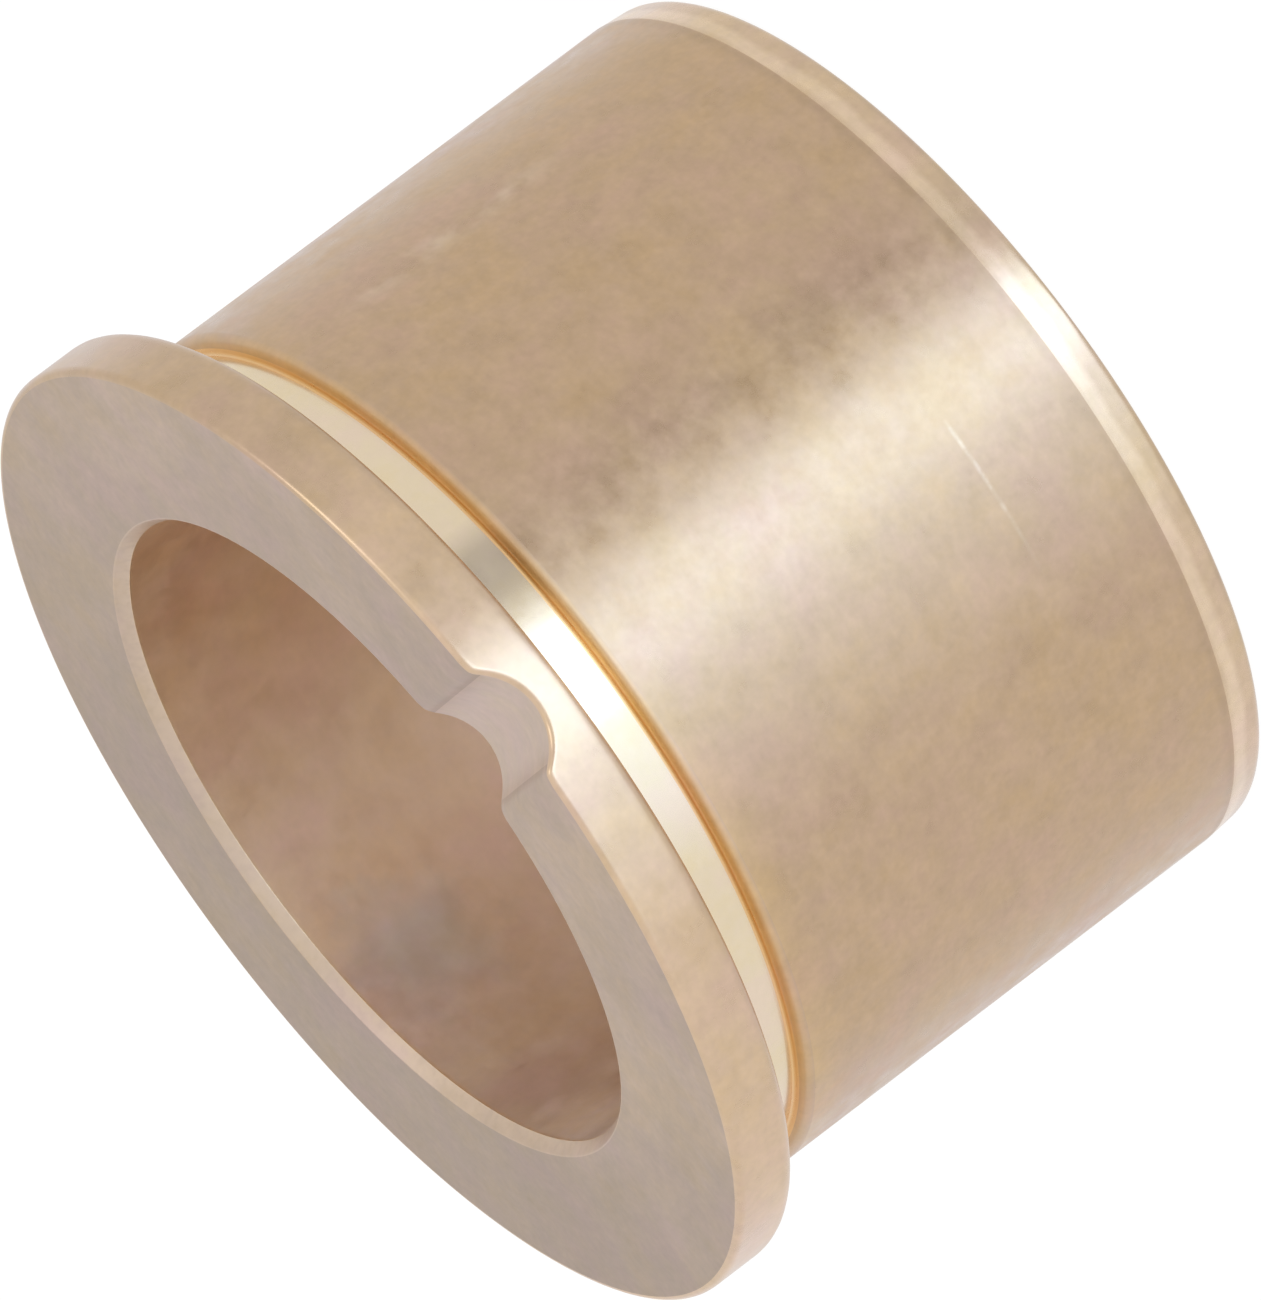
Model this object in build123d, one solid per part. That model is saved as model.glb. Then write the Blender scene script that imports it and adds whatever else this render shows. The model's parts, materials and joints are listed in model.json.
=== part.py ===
from build123d import *
import math
import os

# Flanged sleeve bushing, turned in one piece from bearing bronze.
# The sleeve is pressed into a housing, a shaft runs in the bore, and the flange takes end thrust.
# Frame: +Z runs along the bore axis towards the thrust face. The origin is on the bore axis,
# in the plane of the flange's seating face. The oil notch points along -Y. Millimetres.

# Driving dimensions
BORE_DIAMETER = 20.0
SLEEVE_DIAMETER = 27.0
FLANGE_DIAMETER = 30.0
OVERALL_LENGTH = 19.8
FLANGE_THICKNESS = 2.0

# Grinding undercut between the flange and the press-fit diameter
UNDERCUT_WIDTH = 1.65
UNDERCUT_DEPTH = 0.5
UNDERCUT_FILLET = 0.1

# Lead-in taper that starts the sleeve into its housing
LEAD_IN_LENGTH = 1.1
LEAD_IN_ANGLE = 5.0

# Bore mouths, the same at both ends: the countersink is deeper than it is wide
BORE_CHAMFER_WIDTH = 0.25
BORE_CHAMFER_DEPTH = 0.35

# Rounded edges, by radius
FACE_EDGE_ROUNDING = 0.2
SEAT_EDGE_ROUNDING = 0.45
SLEEVE_EDGE_ROUNDING = 0.3
END_EDGE_ROUNDING = 0.3

# Oil notch, milled straight across the thrust face from the bore to the rim
NOTCH_CUTTER_RADIUS = 1.85
NOTCH_DEPTH = 0.9
NOTCH_OVERRUN = 1.0

# Worked out from the driving dimensions
BORE_RADIUS = BORE_DIAMETER / 2
SLEEVE_RADIUS = SLEEVE_DIAMETER / 2
FLANGE_RADIUS = FLANGE_DIAMETER / 2
UNDERCUT_RADIUS = SLEEVE_RADIUS - UNDERCUT_DEPTH
END_RADIUS = SLEEVE_RADIUS - LEAD_IN_LENGTH * math.tan(math.radians(LEAD_IN_ANGLE))
FACE_HEIGHT = FLANGE_THICKNESS
SEAT_HEIGHT = 0.0
END_HEIGHT = FLANGE_THICKNESS - OVERALL_LENGTH
SLEEVE_START = SEAT_HEIGHT - UNDERCUT_WIDTH
LEAD_IN_START = END_HEIGHT + LEAD_IN_LENGTH
SIZE_TOLERANCE = 0.001


def bore_corners():
    """The bore wall and its two countersinks, from the sleeve's end up to the thrust face."""
    mouth_radius = BORE_RADIUS + BORE_CHAMFER_WIDTH
    return [
        (mouth_radius, END_HEIGHT),
        (BORE_RADIUS, END_HEIGHT + BORE_CHAMFER_DEPTH),
        (BORE_RADIUS, FACE_HEIGHT - BORE_CHAMFER_DEPTH),
        (mouth_radius, FACE_HEIGHT),
    ]


def outside_corners():
    """The flange, the undercut, the press-fit diameter and the lead-in taper, from the thrust face down."""
    return [
        (FLANGE_RADIUS, FACE_HEIGHT),
        (FLANGE_RADIUS, SEAT_HEIGHT),
        (UNDERCUT_RADIUS, SEAT_HEIGHT),
        (UNDERCUT_RADIUS, SLEEVE_START),
        (SLEEVE_RADIUS, SLEEVE_START),
        (SLEEVE_RADIUS, LEAD_IN_START),
        (END_RADIUS, END_HEIGHT),
    ]


def rounded(solid, edge_radius, edge_heights, rounding):
    """The solid with its circular edges of that radius, at those heights, rounded."""
    circles = solid.edges().filter_by(GeomType.CIRCLE)
    of_radius = circles.filter_by(lambda edge: abs(edge.radius - edge_radius) < SIZE_TOLERANCE)
    chosen = of_radius.filter_by(
        lambda edge: any(abs(edge.center().Z - height) < SIZE_TOLERANCE for height in edge_heights)
    )
    return fillet(chosen, rounding)


def turned_blank():
    """The half section turned about the bore axis, with its outside edges rounded."""
    half_section = make_face(Plane.XZ * Polyline(bore_corners() + outside_corners(), close=True))
    blank = revolve(half_section, Axis.Z)
    blank = rounded(blank, FLANGE_RADIUS, [FACE_HEIGHT], FACE_EDGE_ROUNDING)
    blank = rounded(blank, FLANGE_RADIUS, [SEAT_HEIGHT], SEAT_EDGE_ROUNDING)
    blank = rounded(blank, UNDERCUT_RADIUS, [SEAT_HEIGHT, SLEEVE_START], UNDERCUT_FILLET)
    blank = rounded(blank, SLEEVE_RADIUS, [SLEEVE_START], SLEEVE_EDGE_ROUNDING)
    return rounded(blank, END_RADIUS, [END_HEIGHT], END_EDGE_ROUNDING)


def notch_cutter():
    """The cutter's path: a cylinder lying along -Y, from inside the bore to past the rim."""
    path_length = FLANGE_RADIUS + NOTCH_OVERRUN
    cutter_height = FACE_HEIGHT - NOTCH_DEPTH + NOTCH_CUTTER_RADIUS
    path_start = Plane(origin=(0, 0, cutter_height), z_dir=(0, -1, 0))
    lower_end = (Align.CENTER, Align.CENTER, Align.MIN)
    return path_start * Cylinder(NOTCH_CUTTER_RADIUS, path_length, align=lower_end)


def flanged_bushing():
    bushing = turned_blank() - notch_cutter()
    bushing.label = "flanged_bushing"
    return bushing


os.makedirs("parts", exist_ok=True)
export_step(flanged_bushing(), "parts/flanged_bushing.step")
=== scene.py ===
import json
import math

import bpy
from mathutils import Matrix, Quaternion, Vector


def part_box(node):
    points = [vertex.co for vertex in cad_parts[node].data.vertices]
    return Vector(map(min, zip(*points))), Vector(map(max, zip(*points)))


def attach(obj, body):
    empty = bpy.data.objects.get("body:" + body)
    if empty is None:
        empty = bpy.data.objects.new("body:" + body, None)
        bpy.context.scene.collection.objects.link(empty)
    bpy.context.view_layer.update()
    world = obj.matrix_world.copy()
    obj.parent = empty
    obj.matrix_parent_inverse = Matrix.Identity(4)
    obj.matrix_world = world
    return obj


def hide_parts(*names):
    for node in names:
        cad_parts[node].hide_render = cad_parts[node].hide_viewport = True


# Flanged bronze sleeve bushing. The lengths named here are millimetres and the angles degrees, in the
# CAD frame: +Z along the bore axis towards the thrust face, the origin in the plane of the flange's
# seating face, and the oil notch along -Y. Meshes and lights are made in metres.

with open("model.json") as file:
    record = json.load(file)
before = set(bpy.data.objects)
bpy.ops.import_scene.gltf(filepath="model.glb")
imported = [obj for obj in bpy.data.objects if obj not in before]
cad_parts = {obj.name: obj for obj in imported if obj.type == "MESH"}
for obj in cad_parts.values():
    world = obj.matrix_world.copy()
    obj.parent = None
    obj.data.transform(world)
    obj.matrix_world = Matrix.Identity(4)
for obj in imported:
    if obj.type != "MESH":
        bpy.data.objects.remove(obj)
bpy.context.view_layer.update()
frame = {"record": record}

MM = 0.001
NODE = "flanged_bushing"

# The bushing's main dimensions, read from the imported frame
MOUNTS = {mount["name"]: mount for mount in frame["record"]["mounts"]}
LOWEST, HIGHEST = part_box(NODE)
FLANGE_RADIUS = HIGHEST.x / MM
FACE_HEIGHT = HIGHEST.z / MM
END_HEIGHT = LOWEST.z / MM
BORE_RADIUS = MOUNTS["bore"]["dims"]["r_mm"]
SLEEVE_RADIUS = MOUNTS["sleeve_outside"]["dims"]["r_mm"]
SLEEVE_LENGTH = MOUNTS["sleeve_outside"]["dims"]["length_mm"]
SLEEVE_MIDDLE = MOUNTS["sleeve_outside"]["pos_m"][2] / MM

# Its smaller details
UNDERCUT_DEPTH = 0.5
UNDERCUT_FILLET = 0.1
LEAD_IN_ANGLE = 5.0
MOUTH_WIDTH = 0.25
MOUTH_DEPTH = 0.35
FACE_EDGE_ROUNDING = 0.2
SEAT_EDGE_ROUNDING = 0.45
SLEEVE_EDGE_ROUNDING = 0.3
LEAD_IN_START_ROUNDING = 0.3
END_EDGE_ROUNDING = 0.3
NOTCH_CUTTER_RADIUS = 1.85
NOTCH_DEPTH = 0.9
NOTCH_LIP = 0.22

# Edges that look sharp still have a small radius
EDGE_RADIUS = 0.03
SMALLEST_BREAK = 0.05
ARC_STEPS = 6

SLEEVE_TOP = SLEEVE_MIDDLE + SLEEVE_LENGTH / 2
LEAD_IN_TOP = SLEEVE_MIDDLE - SLEEVE_LENGTH / 2
UNDERCUT_BOTTOM = SLEEVE_TOP + SLEEVE_EDGE_ROUNDING
UNDERCUT_RADIUS = SLEEVE_RADIUS - UNDERCUT_DEPTH
LEAD_IN_END_RADIUS = SLEEVE_RADIUS - (LEAD_IN_TOP - END_HEIGHT) * math.tan(math.radians(LEAD_IN_ANGLE))

# The mesh: even columns round the bushing, and closer ones that run straight along the notch. Wear
# fades over WEAR_REACH from each edge whose rounding is no larger than WORN_EDGE.
NOTCH_REACH = 1.8
NOTCH_COLUMNS = 60
ROUND_COLUMNS = 420
GUARD_ROWS = (0.05, 0.13)
WEAR_REACH = 0.05
WORN_EDGE = 0.05

# The tent round the bushing, in linear colours. Azimuths are degrees from -Y towards +X, and elevations
# degrees above the horizon. A pair named RAMP is where something starts and where it is full, here and
# below. The tent's right side and its backdrop have theirs along the direction's x and y.
TENT_LEFT = (0.86, 0.85, 0.85)
TENT_RIGHT = (0.82, 0.80, 0.78)
TENT_RIGHT_RAMP = (-0.5, 0.5)
TENT_TOP = (0.90, 0.88, 0.86)
TENT_TOP_RAMP = (25.0, 80.0)
TENT_BOTTOM = (0.74, 0.73, 0.72)
TENT_BOTTOM_RAMP = (-35.0, -55.0)
BACKDROP = (0.93, 0.94, 1.00)
BACKDROP_RAMP = (0.55, 0.92)
BACKDROP_ELEVATIONS = (-60.0, 6.0)
GAP = (0.62, 0.61, 0.60)
GAP_AZIMUTHS = (28.0, 38.0)
GAP_ELEVATIONS = (-60.0, 0.0)
WINDOW = (1.75, 2.15, 2.70)
WINDOW_AZIMUTHS = (-10.0, 14.5)
WINDOW_TOP_RAMP = (40.0, 20.0)
WINDOW_EDGE = (1.18, 1.34, 1.56)
WINDOW_EDGE_LEFT_RAMP = (-56.0, -16.0)
WINDOW_EDGE_RIGHT_RAMP = (5.0, 0.0)
WINDOW_EDGE_FOOT_RAMP = (-62.0, -45.0)

# The floor and the lamp
WHITE = (1.0, 1.0, 1.0)
FLOOR_REACH = 600.0
FLOOR_GLOW = 0.93
FLOOR_GREY = (0.12, 0.12, 0.12)
LAMP_DISTANCE = 600.0

# Tints that patches of the bare metal take
GOLDEN = (1.00, 0.99, 0.91)
PINKISH = (1.01, 0.985, 1.06)

# The sleeve's marks. Angles run round the axis from -Y towards +X.
SCRATCH = (0.80, 0.66, 0.50)
SCRATCH_HEIGHT = -13.15
SCRATCH_WIDTH = 0.1
SCRATCH_START_RAMP = (-24.0, -10.0)
SCRATCH_END_RAMP = (-2.0, -4.0)
GOLDEN_BAND = (0.70, 0.50, 0.28)
GOLDEN_BAND_HEIGHT_RAMP = (-3.2, -1.9)
GOLDEN_BAND_START_RAMP = (0.0, -20.0)
GOLDEN_BAND_END_RAMP = (-170.0, -110.0)
SMEAR = (0.74, 0.62, 0.49)
SMEAR_ANGLES = (55.0, 58.5)
SMEAR_HEIGHTS = (-10.5, -4.5)

# The sleeve's edges: the orange beside the undercut is a painted reflection of light passed between the
# undercut's floor and wall, and where the lead-in starts lie a painted shade line and a painted highlight.
# Each keeps a hair's breadth off its edge.
HAIR = 0.02
ORANGE_REFLECTION = (0.86, 0.56, 0.27)
ORANGE_ANGLES = (30.0, 80.0)
LEAST_ORANGE = 0.2
SHADE_LINE = (0.46, 0.34, 0.23)
SHADE_LINE_WIDTH = 0.24
HIGHLIGHT_LINE = (0.85, 0.67, 0.48)
HIGHLIGHT_LINE_WIDTH = 0.43
LINE_FADE = 0.2

# The flange's and the undercut's tints: patches on the face, painted shade on the rim and the face,
# and a painted reflection on the undercut
RIM_SHADE = (0.57, 0.42, 0.285)
RIM_SHADE_START_RAMP = (24.0, 38.0)
RIM_SHADE_END_RAMP = (170.0, 110.0)
FACE_PATCH = (0.54, 0.43, 0.345)
FACE_FAR_SIDE_SHADE = (0.47, 0.375, 0.30)
FACE_FAR_SIDE_SHADE_RAMP = (-5.0, 6.0)
FACE_SHADE = 0.92
FACE_LIGHTER_RAMP = (6.0, 12.0)
UNDERCUT_DARK_REFLECTION = (0.52, 0.44, 0.35)
UNDERCUT_DARK_REFLECTION_ANGLES = (10.5, 20.5)

# The bore's copper-red stains, and the painted reflections on its wall
BORE_RED = (0.745, 0.515, 0.33)
BORE_RED_START_RAMP = (0.0, 60.0)
BORE_RED_END_RAMP = (165.0, 130.0)
BORE_PINK_REFLECTION = (0.77, 0.665, 0.575)
BORE_PINK_REFLECTION_RAMP = (-1.0, -6.0)
BORE_DARK_REFLECTION = (0.62, 0.56, 0.505)
BORE_DARK_REFLECTION_CENTRE = (-3.15, 9.49, -0.5)
BORE_DARK_REFLECTION_REACH = 2.6
BORE_BRIGHT_REFLECTION = (0.95, 0.86, 0.80)
BORE_BRIGHT_REFLECTION_CENTRE = (-9.4, 3.3, 0.9)
BORE_BRIGHT_REFLECTION_REACH = 2.2
SPOT_CORE = 0.3

# The turn, as a share of a full one, that sets the gloss across marks that run round the axis
ACROSS_THE_MARKS = 0.25


# ---------------------------------------------------------------- shape

def notch_depth(offset):
    """How far the notch's floor lies below the thrust face, at this distance from its centre line. The
    cutter's circle is blended into the face, which rounds the notch's lips."""
    cutter_centre = NOTCH_CUTTER_RADIUS - NOTCH_DEPTH
    inside = NOTCH_CUTTER_RADIUS ** 2 - offset ** 2
    depth = math.sqrt(max(inside, 0.0)) - cutter_centre
    return (depth + math.hypot(depth, NOTCH_LIP)) / 2


def outline(depth):
    """The half section's corners, up the bore and down the outside. Each is its radius, height and
    rounding, the surface of the rounding, the surface after it, and how many even rows that has.
    depth lowers the thrust face, as the notch does."""
    face = FACE_HEIGHT - depth
    mouth = max(SMALLEST_BREAK, MOUTH_WIDTH * (1 - depth / MOUTH_DEPTH))
    mouth_foot = min(FACE_HEIGHT - MOUTH_DEPTH, face - SMALLEST_BREAK)
    return [
        (BORE_RADIUS + MOUTH_WIDTH, END_HEIGHT, EDGE_RADIUS, "faced_end", "bore_mouth", 0),
        (BORE_RADIUS, END_HEIGHT + MOUTH_DEPTH, EDGE_RADIUS, "bore_mouth", "bored_wall", 18),
        (BORE_RADIUS, mouth_foot, EDGE_RADIUS, "bored_wall", "bore_mouth", 0),
        (BORE_RADIUS + mouth, face, 2 * EDGE_RADIUS, "bore_mouth", "faced_flange", 6),
        (FLANGE_RADIUS, face, FACE_EDGE_ROUNDING, "turned_rim", "turned_rim", 2),
        (FLANGE_RADIUS, 0.0, SEAT_EDGE_ROUNDING, "turned_rim", "polished_undercut", 2),
        (UNDERCUT_RADIUS, 0.0, UNDERCUT_FILLET, "polished_undercut", "polished_undercut", 2),
        (UNDERCUT_RADIUS, UNDERCUT_BOTTOM, UNDERCUT_FILLET, "undercut_wall", "undercut_wall", 0),
        (SLEEVE_RADIUS, UNDERCUT_BOTTOM, SLEEVE_EDGE_ROUNDING, "sleeve_edge", "ground_sleeve", 18),
        (SLEEVE_RADIUS, LEAD_IN_TOP, LEAD_IN_START_ROUNDING, "lead_in", "lead_in", 1),
        (LEAD_IN_END_RADIUS, END_HEIGHT, END_EDGE_ROUNDING, "lead_in", "faced_end", 4),
    ]


def arc(before, corner, after, radius):
    """Points of the true circular arc that rounds a corner."""
    into = (before - corner).normalized()
    out = (after - corner).normalized()
    half_turn = (math.pi - into.angle(out)) / 2
    reach = radius * math.tan(half_turn)
    start = corner + into * reach
    end = corner + out * reach
    weight = math.cos(half_turn)
    points = []
    for step in range(ARC_STEPS + 1):
        u = step / ARC_STEPS
        parts = ((1 - u) ** 2, 2 * u * (1 - u) * weight, u ** 2)
        points.append((start * parts[0] + corner * parts[1] + end * parts[2]) / sum(parts))
    return points


def half_section(depth):
    """The rounded outline as rows: the point, how worn it is, and the surface that follows it."""
    corners = outline(depth)
    spots = [Vector(corner[:2]) for corner in corners]
    worn = [1.0 if corner[2] <= WORN_EDGE else 0.0 for corner in corners]
    arcs = []
    for index, corner in enumerate(corners):
        following = spots[(index + 1) % len(spots)]
        arcs.append(arc(spots[index - 1], spots[index], following, corner[2]))
    rows = []
    for index, (_, _, _, arc_surface, surface, even_rows) in enumerate(corners):
        following = (index + 1) % len(corners)
        for point in arcs[index]:
            rows.append([point, worn[index], arc_surface])
        rows[-1][2] = surface
        start = arcs[index][-1]
        end = arcs[following][0]
        length = (end - start).length
        for distance, share in run_rows(length, even_rows):
            near_start = worn[index] * math.exp(-distance / WEAR_REACH)
            near_end = worn[following] * math.exp(-(length - distance) / WEAR_REACH)
            rows.append([start.lerp(end, share), max(near_start, near_end), surface])
    return rows


def run_rows(length, even_rows):
    """Distances along a straight run, and as shares of it: close rows at both ends and even ones between."""
    if even_rows == 0:
        return []
    first, last = GUARD_ROWS[-1], length - GUARD_ROWS[-1]
    between = [first + (last - first) * step / even_rows for step in range(even_rows + 1)]
    distances = [GUARD_ROWS[0]] + between + [length - GUARD_ROWS[0]]
    return [(distance, distance / length) for distance in distances]


def column_plan():
    """Each column as (offset from the notch's centre line or None, share of the way round the rest)."""
    plan = []
    for step in range(NOTCH_COLUMNS + 1):
        plan.append((-NOTCH_REACH + 2 * NOTCH_REACH * step / NOTCH_COLUMNS, None))
    for step in range(1, ROUND_COLUMNS):
        plan.append((None, step / ROUND_COLUMNS))
    return plan


def column_angle(radius, offset, share):
    """The column's angle about the axis, from -Y towards +X, at this radius."""
    notch_edge = math.asin(NOTCH_REACH / radius)
    if offset is not None:
        return math.asin(offset / radius)
    return notch_edge + share * 2 * (math.pi - notch_edge)


def bushing_mesh(surfaces):
    """One closed mesh, turned about the axis, with the notch cut across the thrust face."""
    plan = column_plan()
    vertices = []
    wear = []
    row_surfaces = []
    depths = []
    for offset, share in plan:
        depth = 0.0 if offset is None else notch_depth(offset)
        depths.append(depth)
        rows = half_section(depth)
        row_surfaces = [row[2] for row in rows]
        for (radius, height), row_wear, _ in rows:
            angle = column_angle(radius, offset, share)
            vertices.append((radius * math.sin(angle) * MM, -radius * math.cos(angle) * MM, height * MM))
            wear.append(row_wear)
    row_count = len(row_surfaces)
    faces = []
    face_surfaces = []
    for column in range(len(plan)):
        next_column = (column + 1) % len(plan)
        in_notch = min(depths[column], depths[next_column]) > NOTCH_LIP
        for row in range(row_count):
            next_row = (row + 1) % row_count
            faces.append((
                column * row_count + row,
                column * row_count + next_row,
                next_column * row_count + next_row,
                next_column * row_count + row,
            ))
            milled = in_notch and row_surfaces[row] == "faced_flange"
            face_surfaces.append("milled_notch" if milled else row_surfaces[row])
    mesh = bpy.data.meshes.new("bushing")
    mesh.from_pydata(vertices, [], faces)
    mesh.attributes.new("wear", "FLOAT", "POINT").data.foreach_set("value", wear)
    names = list(surfaces)
    for name in names:
        mesh.materials.append(surfaces[name])
    mesh.polygons.foreach_set("material_index", [names.index(name) for name in face_surfaces])
    mesh.polygons.foreach_set("use_smooth", [True] * len(faces))
    mesh.update()
    return mesh


# ---------------------------------------------------------------- materials

class Nodes:
    """Writes a node tree with one call per node. Each call returns the node's first output."""

    def __init__(self, tree):
        self.tree = tree
        tree.nodes.clear()

    def add(self, kind, inputs=None, output=0, **settings):
        node = self.tree.nodes.new(kind)
        for name, value in settings.items():
            setattr(node, name, value)
        for key, value in (inputs or {}).items():
            if isinstance(value, bpy.types.NodeSocket):
                self.tree.links.new(value, node.inputs[key])
            else:
                node.inputs[key].default_value = value
        return node.outputs[output]

    def end(self, kind, surface):
        """The tree's output node."""
        node = self.tree.nodes.new(kind)
        self.tree.links.new(surface, node.inputs["Surface"])

    def split(self, vector):
        node = self.tree.nodes.new("ShaderNodeSeparateXYZ")
        self.tree.links.new(vector, node.inputs[0])
        return node.outputs

    def math(self, operation, *values):
        return self.add("ShaderNodeMath", dict(enumerate(values)), operation=operation)

    def scaled(self, value, low, high, to_low=0.0, to_high=1.0):
        """value mapped from low..high to to_low..to_high, and held there outside."""
        inputs = {"Value": value, "From Min": low, "From Max": high, "To Min": to_low, "To Max": to_high}
        return self.add("ShaderNodeMapRange", inputs)

    def between(self, value, low, high, fade):
        """1 where value lies from low to high, falling to 0 over a fade that is centred on each limit."""
        middle = (low + high) / 2
        half = (high - low) / 2
        distance = self.math("ABSOLUTE", self.math("SUBTRACT", value, middle))
        return self.scaled(distance, half - fade / 2, half + fade / 2, 1.0, 0.0)

    def product(self, *values):
        result = values[0]
        for value in values[1:]:
            result = self.math("MULTIPLY", result, value)
        return result

    def mix(self, share, first, second):
        """A colour that goes from first to second."""
        inputs = {0: share, 6: first, 7: second}
        return self.add("ShaderNodeMix", inputs, output=2, data_type="RGBA")

    def times(self, first, second):
        """Two colours multiplied together."""
        inputs = {0: 1.0, 6: first, 7: second}
        return self.add("ShaderNodeMix", inputs, output=2, data_type="RGBA", blend_type="MULTIPLY")

    def noise(self, vector, scale, detail=2.0, roughness=0.5):
        inputs = {"Vector": vector, "Scale": scale, "Detail": detail, "Roughness": roughness}
        return self.add("ShaderNodeTexNoise", inputs)


def opaque(colour):
    return (*colour, 1.0)


def grey(value):
    return (value, value, value, 1.0)


def tinted(nodes, tone, colour, *shares, strength=1.0):
    """The tone, changed to a colour by the product of the shares and the strength."""
    return nodes.mix(nodes.product(*shares, strength), tone, opaque(colour))


def position(nodes):
    """The point in the CAD frame in millimetres: its vector, x, y, height, radius and degrees from -Y."""
    coordinates = nodes.add("ShaderNodeTexCoord", output=3)
    vector = nodes.add("ShaderNodeVectorMath", {0: coordinates, "Scale": 1 / MM}, operation="SCALE")
    x, y, z = nodes.split(vector)
    flat = nodes.add("ShaderNodeCombineXYZ", {0: x, 1: y})
    radius = nodes.add("ShaderNodeVectorMath", {0: flat}, output=1, operation="LENGTH")
    turn = nodes.math("ARCTAN2", x, nodes.math("MULTIPLY", y, -1.0))
    angle = nodes.math("DEGREES", turn)
    return {"vector": vector, "x": x, "y": y, "height": z, "radius": radius, "angle": angle}


def tool_marks(nodes, place, across, around, fineness):
    """Fine marks that run round the axis: they change quickly along `across` and slowly round it."""
    x = nodes.math("MULTIPLY", place["x"], around)
    y = nodes.math("MULTIPLY", place["y"], around)
    along = nodes.math("MULTIPLY", place[across], fineness)
    vector = nodes.add("ShaderNodeCombineXYZ", {0: x, 1: y, 2: along})
    return nodes.noise(vector, scale=1.0, roughness=0.6)


def sleeve_marks_and_shade(nodes, place, tone):
    """Handling marks: a light scratch and a faint smear along the sleeve on its +X side. Also a golden band
    by the undercut, and a painted shade line where the lead-in starts."""
    height, angle = place["height"], place["angle"]
    lowest = SCRATCH_HEIGHT - SCRATCH_WIDTH / 2
    tone = tinted(
        nodes, tone, SCRATCH,
        nodes.between(height, lowest, lowest + SCRATCH_WIDTH, fade=0.08),
        nodes.scaled(angle, *SCRATCH_START_RAMP),
        nodes.scaled(angle, *SCRATCH_END_RAMP),
        nodes.scaled(nodes.noise(place["vector"], scale=3.0), 0.35, 0.60, 0.3, 1.0),
        strength=0.7,
    )
    # A golden band on the sleeve beside the undercut, on its -X side
    tone = tinted(
        nodes, tone, GOLDEN_BAND,
        nodes.scaled(height, *GOLDEN_BAND_HEIGHT_RAMP),
        nodes.scaled(angle, *GOLDEN_BAND_START_RAMP),
        nodes.scaled(angle, *GOLDEN_BAND_END_RAMP),
        strength=0.6,
    )
    tone = tinted(
        nodes, tone, SMEAR,
        nodes.between(angle, *SMEAR_ANGLES, fade=3.0),
        nodes.between(height, *SMEAR_HEIGHTS, fade=2.5),
        nodes.scaled(nodes.noise(place["vector"], scale=0.9, detail=3.0), 0.40, 0.60),
        strength=0.4,
    )
    # Painted shade: a darker line on the sleeve beside where the lead-in starts
    lowest = LEAD_IN_TOP + HAIR
    dull = nodes.between(height, lowest, lowest + SHADE_LINE_WIDTH, fade=LINE_FADE)
    return tinted(nodes, tone, SHADE_LINE, dull, strength=0.3)


def edge_orange_reflection(nodes, place, tone):
    """Painted reflection: the sleeve's edge takes the wall's orange beside the wall, most of all below the
    notch.
    """
    beside_wall = nodes.scaled(place["height"], SLEEVE_TOP, UNDERCUT_BOTTOM - HAIR)
    from_notch = nodes.math("ABSOLUTE", place["angle"])
    near_notch = nodes.scaled(from_notch, *ORANGE_ANGLES, 1.0, LEAST_ORANGE)
    return tinted(nodes, tone, ORANGE_REFLECTION, beside_wall, near_notch)


def lead_in_highlight(nodes, place, tone):
    """Painted highlight: the lead-in is brightest where it starts, and duller towards the sleeve's end."""
    wander = nodes.scaled(nodes.noise(place["vector"], scale=0.5), 0.3, 0.7, -0.08, 0.08)
    level = nodes.math("ADD", place["height"], wander)
    highest = LEAD_IN_TOP - HAIR
    bright = nodes.between(level, highest - HIGHLIGHT_LINE_WIDTH, highest, fade=LINE_FADE)
    return tinted(nodes, tone, HIGHLIGHT_LINE, bright, strength=0.9)


def rim_shade(nodes, place, tone):
    """Painted shade: the rim is duller on its +X side."""
    return tinted(
        nodes, tone, RIM_SHADE,
        nodes.scaled(place["angle"], *RIM_SHADE_START_RAMP),
        nodes.scaled(place["angle"], *RIM_SHADE_END_RAMP),
        strength=0.7,
    )


def face_patches_and_shade(nodes, place, tone):
    """Broad duller patches on the thrust face, and painted shade: a duller far side, and a lighter +X side.
    """
    cloud = nodes.noise(place["vector"], scale=0.16, detail=4.0, roughness=0.6)
    tone = tinted(nodes, tone, FACE_PATCH, nodes.scaled(cloud, 0.38, 0.58), strength=0.8)
    # Painted shade on the face's far side
    far_side = nodes.scaled(place["y"], *FACE_FAR_SIDE_SHADE_RAMP)
    tone = tinted(nodes, tone, FACE_FAR_SIDE_SHADE, far_side, strength=0.6)
    # Painted shade: all of the face but its +X side is made darker
    lighter = nodes.scaled(place["x"], *FACE_LIGHTER_RAMP)
    return nodes.mix(lighter, nodes.times(tone, grey(FACE_SHADE)), tone)


def undercut_reflection(nodes, place, tone):
    """Painted reflection of something dark: a short grey stretch of the undercut, beside the notch on its +X
    side.
    """
    stretch = nodes.between(place["angle"], *UNDERCUT_DARK_REFLECTION_ANGLES, fade=4.0)
    return tinted(nodes, tone, UNDERCUT_DARK_REFLECTION, stretch, strength=0.6)


def spot(nodes, place, centre, reach):
    """1 at a point, falling to 0 all round it, with an uneven outline."""
    away = nodes.add("ShaderNodeVectorMath", {0: place["vector"], 1: centre}, output=1, operation="DISTANCE")
    unevenness = nodes.scaled(nodes.noise(place["vector"], scale=0.8, detail=3.0), 0.3, 0.7, 0.7, 1.3)
    return nodes.scaled(nodes.product(away, unevenness), reach, SPOT_CORE * reach)


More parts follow.
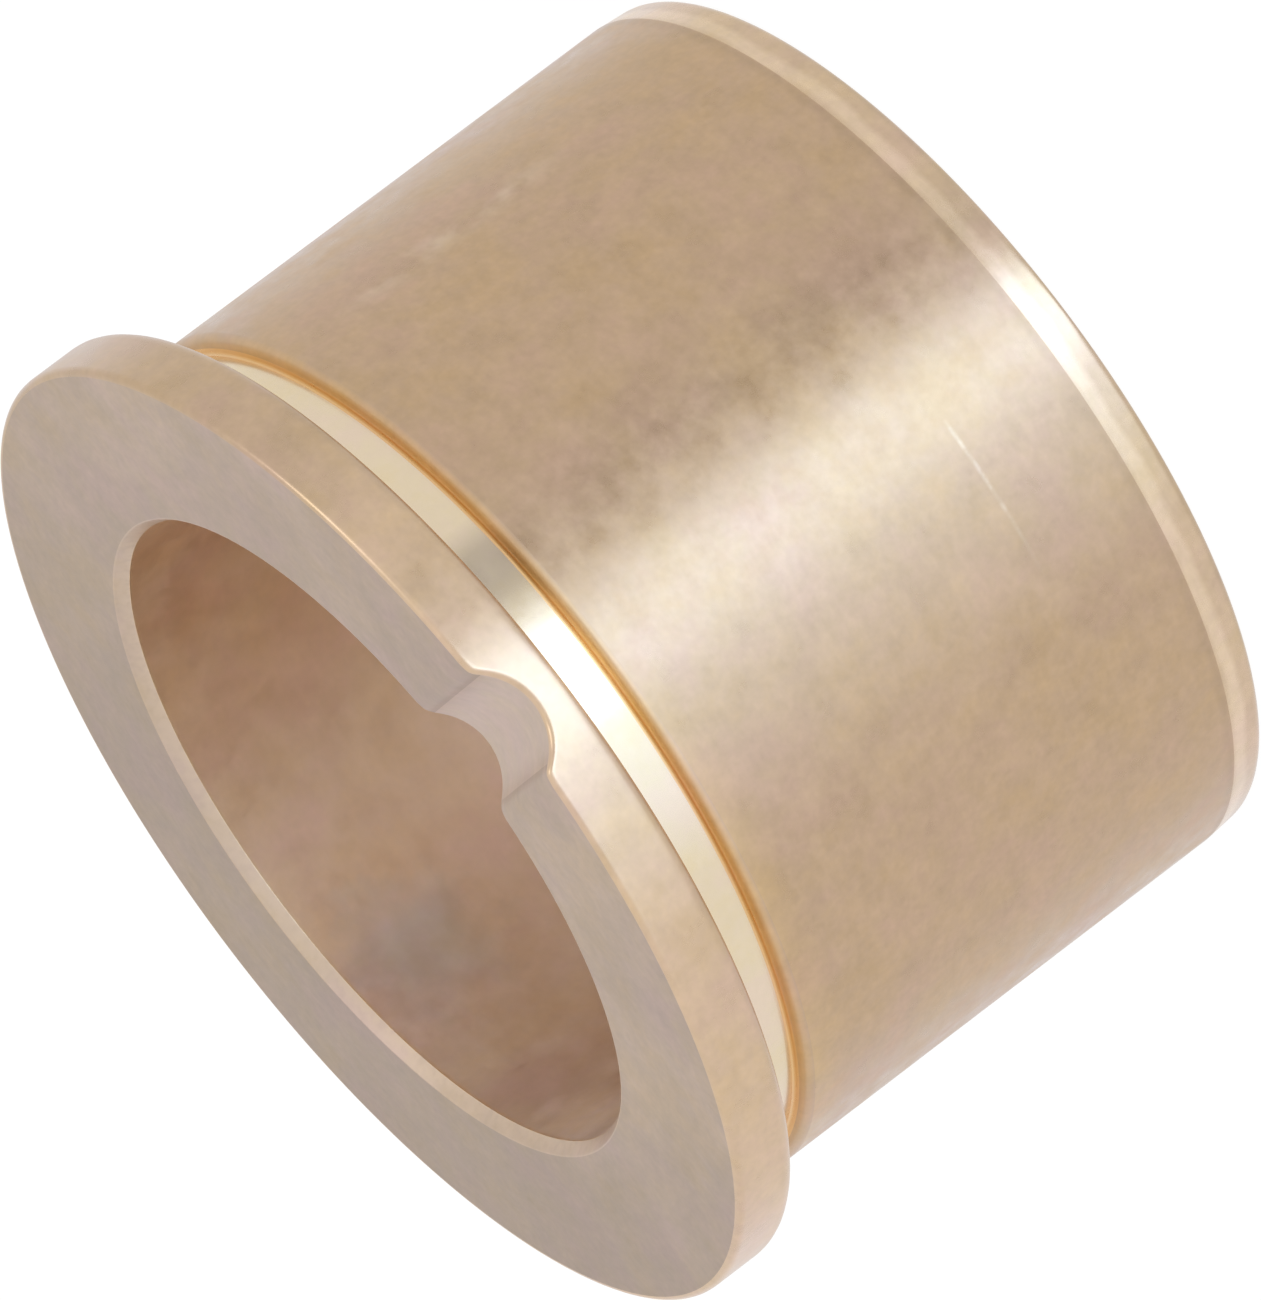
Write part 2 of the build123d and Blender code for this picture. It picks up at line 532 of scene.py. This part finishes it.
def bore_stains_and_reflections(nodes, place, tone):
    """The bore wall: copper-red patches, and painted reflections: a pinkish side, a grey smudge and a pale
    patch.
    """
    cloud = nodes.noise(place["vector"], scale=0.30, detail=3.0)
    tone = tinted(
        nodes, tone, BORE_RED,
        nodes.scaled(cloud, 0.40, 0.56, 0.4, 1.0),
        nodes.scaled(place["angle"], *BORE_RED_START_RAMP),
        nodes.scaled(place["angle"], *BORE_RED_END_RAMP),
    )
    # Painted reflections: a pinker, paler -X side, a grey smudge and a pale patch
    tone = tinted(nodes, tone, BORE_PINK_REFLECTION, nodes.scaled(place["x"], *BORE_PINK_REFLECTION_RAMP))
    dark_reflection = spot(nodes, place, BORE_DARK_REFLECTION_CENTRE, BORE_DARK_REFLECTION_REACH)
    tone = tinted(nodes, tone, BORE_DARK_REFLECTION, dark_reflection, strength=0.8)
    bright_reflection = spot(nodes, place, BORE_BRIGHT_REFLECTION_CENTRE, BORE_BRIGHT_REFLECTION_REACH)
    return tinted(nodes, tone, BORE_BRIGHT_REFLECTION, bright_reflection, strength=0.9)


def uneven(nodes, value, spread, brightest):
    """A grey that follows a noise value, from duller by the spread up to the brightest."""
    return nodes.mix(nodes.scaled(value, 0.30, 0.70), grey(1 - spread), grey(brightest))


def bronze(name, colour, roughness, across, marks_depth=0.001, mottle=0.06, anisotropy=0.0,
           roughness_spread=0.05, worn_colour=(0.84, 0.68, 0.47), extras=None):
    """Bare bronze: streaks that run round the axis, uneven colour and grain, and brighter worn edges."""
    material = bpy.data.materials.new(name)
    material.use_nodes = True
    nodes = Nodes(material.node_tree)
    place = position(nodes)

    blotches = nodes.noise(place["vector"], scale=0.9, detail=4.0, roughness=0.66)
    warmth = nodes.noise(place["vector"], scale=0.28, detail=5.0, roughness=0.70)
    speckle = nodes.noise(place["vector"], scale=4.0, detail=1.0)
    streaks = tool_marks(nodes, place, across, around=1.0, fineness=2.6)
    marks = tool_marks(nodes, place, across, around=0.12, fineness=5.0)

    tone = opaque(colour)
    if extras:
        tone = extras(nodes, place, tone)
    shade = uneven(nodes, blotches, mottle, 1 + mottle)
    grain = nodes.math("ADD", nodes.product(speckle, 0.5), nodes.product(streaks, 0.5))
    grain = uneven(nodes, grain, mottle, 1 + mottle / 2)
    hue = nodes.mix(nodes.scaled(warmth, 0.36, 0.50), opaque(GOLDEN), grey(1.0))
    hue = nodes.mix(nodes.scaled(warmth, 0.50, 0.64), hue, opaque(PINKISH))
    tone = nodes.times(nodes.times(tone, shade), nodes.times(hue, grain))

    worn = nodes.add("ShaderNodeAttribute", output=2, attribute_name="wear")
    worn = nodes.math("MULTIPLY", worn, nodes.scaled(speckle, 0.35, 0.60, 0.45, 1.0))
    tone = nodes.mix(worn, tone, opaque(worn_colour))
    gloss = nodes.scaled(blotches, 0.3, 0.7, roughness - roughness_spread, roughness + roughness_spread)
    gloss = nodes.math("MULTIPLY", gloss, nodes.scaled(worn, 0.0, 1.0, 1.0, 0.75))
    height = nodes.math("ADD", nodes.product(marks, 0.3), nodes.product(streaks, 1.2))
    bump = nodes.add("ShaderNodeBump", {"Strength": 1.0, "Distance": marks_depth * MM, "Height": height})

    shader_inputs = {"Base Color": tone, "Metallic": 1.0, "Roughness": gloss, "Normal": bump}
    if anisotropy:
        shader_inputs["Anisotropic"] = anisotropy
        shader_inputs["Anisotropic Rotation"] = ACROSS_THE_MARKS
        shader_inputs["Tangent"] = nodes.add("ShaderNodeTangent", direction_type="RADIAL", axis="Z")
    shader = nodes.add("ShaderNodeBsdfPrincipled", shader_inputs)
    nodes.end("ShaderNodeOutputMaterial", shader)
    return material


def bushing_surfaces():
    """One material for each machined surface of the bushing."""
    surfaces = [
        bronze("ground_sleeve", (0.605, 0.438, 0.293), roughness=0.35, across="height", marks_depth=0.004,
               mottle=0.07, anisotropy=0.4, roughness_spread=0.10, extras=sleeve_marks_and_shade),
        bronze("sleeve_edge", (0.61, 0.445, 0.30), roughness=0.38, across="height", extras=edge_orange_reflection),
        bronze("turned_rim", (0.745, 0.56, 0.39), roughness=0.30, across="height", marks_depth=0.002,
               anisotropy=0.4, extras=rim_shade),
        bronze("polished_undercut", (0.88, 0.75, 0.55), roughness=0.18, across="height",
               marks_depth=0.0003, mottle=0.015, extras=undercut_reflection),
        # The undercut wall's orange is a painted reflection of light passed between the undercut's floor and
        # wall
        bronze("undercut_wall", ORANGE_REFLECTION, roughness=0.30, across="radius", marks_depth=0.0003,
               mottle=0.02),
        bronze("faced_flange", (0.63, 0.50, 0.405), roughness=0.42, across="radius", mottle=0.07,
               extras=face_patches_and_shade),
        bronze("bore_mouth", (0.64, 0.51, 0.405), roughness=0.45, across="radius",
               worn_colour=(0.68, 0.54, 0.42)),
        bronze("faced_end", (0.66, 0.53, 0.41), roughness=0.40, across="radius"),
        bronze("bored_wall", (0.76, 0.57, 0.41), roughness=0.48, across="height", mottle=0.035,
               extras=bore_stains_and_reflections),
        bronze("lead_in", (0.72, 0.55, 0.38), roughness=0.26, across="height", anisotropy=0.4,
               extras=lead_in_highlight),
        bronze("milled_notch", (0.64, 0.515, 0.42), roughness=0.38, across="radius"),
    ]
    return {material.name: material for material in surfaces}


# ---------------------------------------------------------------- studio

def direction(azimuth, elevation):
    """Unit vector from the bushing: azimuth from -Y towards +X, elevation above the horizon."""
    a, e = math.radians(azimuth), math.radians(elevation)
    return Vector((math.sin(a) * math.cos(e), -math.cos(a) * math.cos(e), math.sin(e)))


def softbox(name, azimuth, elevation, half_width, half_height, radiance):
    """A rectangular light that spans that many degrees each side of its centre, seen from the bushing."""
    distance = LAMP_DISTANCE * MM
    width = 2 * distance * math.tan(math.radians(half_width))
    height = 2 * distance * math.tan(math.radians(half_height))
    light = bpy.data.lights.new(name, "AREA")
    light.shape = "RECTANGLE"
    light.size = width
    light.size_y = height
    light.energy = radiance * math.pi * width * height
    lamp = bpy.data.objects.new(name, light)
    away = direction(azimuth, elevation)
    lamp.location = away * distance
    lamp.rotation_mode = "QUATERNION"
    lamp.rotation_quaternion = (-away).to_track_quat("-Z", "Y")
    lamp.visible_camera = False
    bpy.context.scene.collection.objects.link(lamp)


def studio_world():
    """A pale tent round the bushing. The camera looks down at the bushing's side, so the sleeve mirrors
    what lies in front of it and below the horizon: a tall cool window, its softer edge and a dark gap."""
    world = bpy.data.worlds.new("studio")
    world.use_nodes = True
    nodes = Nodes(world.node_tree)
    x, y, z = nodes.split(nodes.add("ShaderNodeTexCoord", output=0))
    azimuth = nodes.math("DEGREES", nodes.math("ARCTAN2", x, nodes.math("MULTIPLY", y, -1.0)))
    elevation = nodes.math("DEGREES", nodes.math("ARCSINE", z))

    tent = nodes.mix(nodes.scaled(x, *TENT_RIGHT_RAMP), opaque(TENT_LEFT), opaque(TENT_RIGHT))
    tent = tinted(nodes, tent, TENT_TOP, nodes.scaled(elevation, *TENT_TOP_RAMP))
    tent = tinted(nodes, tent, TENT_BOTTOM, nodes.scaled(elevation, *TENT_BOTTOM_RAMP))
    tent = tinted(
        nodes, tent, BACKDROP,
        nodes.scaled(y, *BACKDROP_RAMP),
        nodes.between(elevation, *BACKDROP_ELEVATIONS, fade=10.0),
    )
    tent = tinted(
        nodes, tent, GAP,
        nodes.between(azimuth, *GAP_AZIMUTHS, fade=8.0),
        nodes.between(elevation, *GAP_ELEVATIONS, fade=10.0),
    )
    below_top = nodes.scaled(elevation, *WINDOW_TOP_RAMP)
    tent = tinted(
        nodes, tent, WINDOW_EDGE,
        nodes.scaled(azimuth, *WINDOW_EDGE_LEFT_RAMP),
        nodes.scaled(azimuth, *WINDOW_EDGE_RIGHT_RAMP),
        nodes.scaled(elevation, *WINDOW_EDGE_FOOT_RAMP),
        below_top,
    )
    tent = tinted(nodes, tent, WINDOW, nodes.between(azimuth, *WINDOW_AZIMUTHS, fade=5.0), below_top)

    seen = nodes.add("ShaderNodeLightPath", output=0)
    tent = tinted(nodes, tent, WHITE, seen)
    background = nodes.add("ShaderNodeBackground", {"Color": tent, "Strength": 1.0})
    nodes.end("ShaderNodeOutputWorld", background)
    bpy.context.scene.world = world


def floor_paper():
    """Pale paper that glows a little, and is clear from below."""
    material = bpy.data.materials.new("floor")
    material.use_nodes = True
    nodes = Nodes(material.node_tree)
    glow = nodes.add("ShaderNodeEmission", {"Color": opaque(WHITE), "Strength": FLOOR_GLOW})
    matte = nodes.add("ShaderNodeBsdfDiffuse", {"Color": opaque(FLOOR_GREY)})
    paper = nodes.add("ShaderNodeAddShader", {0: glow, 1: matte})
    clear = nodes.add("ShaderNodeBsdfTransparent")
    from_below = nodes.add("ShaderNodeNewGeometry", output=6)
    surface = nodes.add("ShaderNodeMixShader", {0: from_below, 1: paper, 2: clear})
    nodes.end("ShaderNodeOutputMaterial", surface)
    return material


def studio_floor():
    """A square of paper under the bushing. Only the camera sees it."""
    reach = FLOOR_REACH * MM
    height = END_HEIGHT * MM
    corners = [(x * reach, y * reach, height) for x, y in ((-1, -1), (1, -1), (1, 1), (-1, 1))]
    mesh = bpy.data.meshes.new("floor")
    mesh.from_pydata(corners, [], [(0, 1, 2, 3)])
    mesh.materials.append(floor_paper())
    floor = bpy.data.objects.new("floor", mesh)
    floor.visible_diffuse = False
    floor.visible_glossy = False
    floor.visible_shadow = False
    bpy.context.scene.collection.objects.link(floor)


def camera():
    """A long lens, rolled so that the bore axis lies across the picture."""
    azimuth = -0.6
    elevation = 19.205
    roll = 127.036
    distance = 750.66
    aim = Vector((-0.2527, -2.1994, -6.3211))
    back = direction(azimuth, elevation)
    data = bpy.data.cameras.new("camera")
    data.sensor_width = 36.0
    data.lens = 786.23
    data.clip_start = 0.1
    data.clip_end = 5.0
    eye = bpy.data.objects.new("camera", data)
    eye.location = (aim + back * distance) * MM
    eye.rotation_mode = "QUATERNION"
    upright = (-back).to_track_quat("-Z", "Y")
    eye.rotation_quaternion = upright @ Quaternion((0.0, 0.0, 1.0), -math.radians(roll))
    bpy.context.scene.collection.objects.link(eye)
    bpy.context.scene.camera = eye


def studio_lamp():
    """A small lamp high on the +X side, which puts a glint on the rounded edges."""
    softbox("glint", azimuth=85, elevation=55, half_width=10, half_height=10, radiance=1.2)


# ---------------------------------------------------------------- scene

bushing = bpy.data.objects.new("bushing", bushing_mesh(bushing_surfaces()))
bpy.context.scene.collection.objects.link(bushing)
smooth = bushing.modifiers.new("normals", "WEIGHTED_NORMAL")
smooth.weight = 90
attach(bushing, "root")
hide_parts(NODE)

studio_world()
studio_floor()
studio_lamp()
camera()
bpy.context.scene.view_settings.view_transform = "Standard"
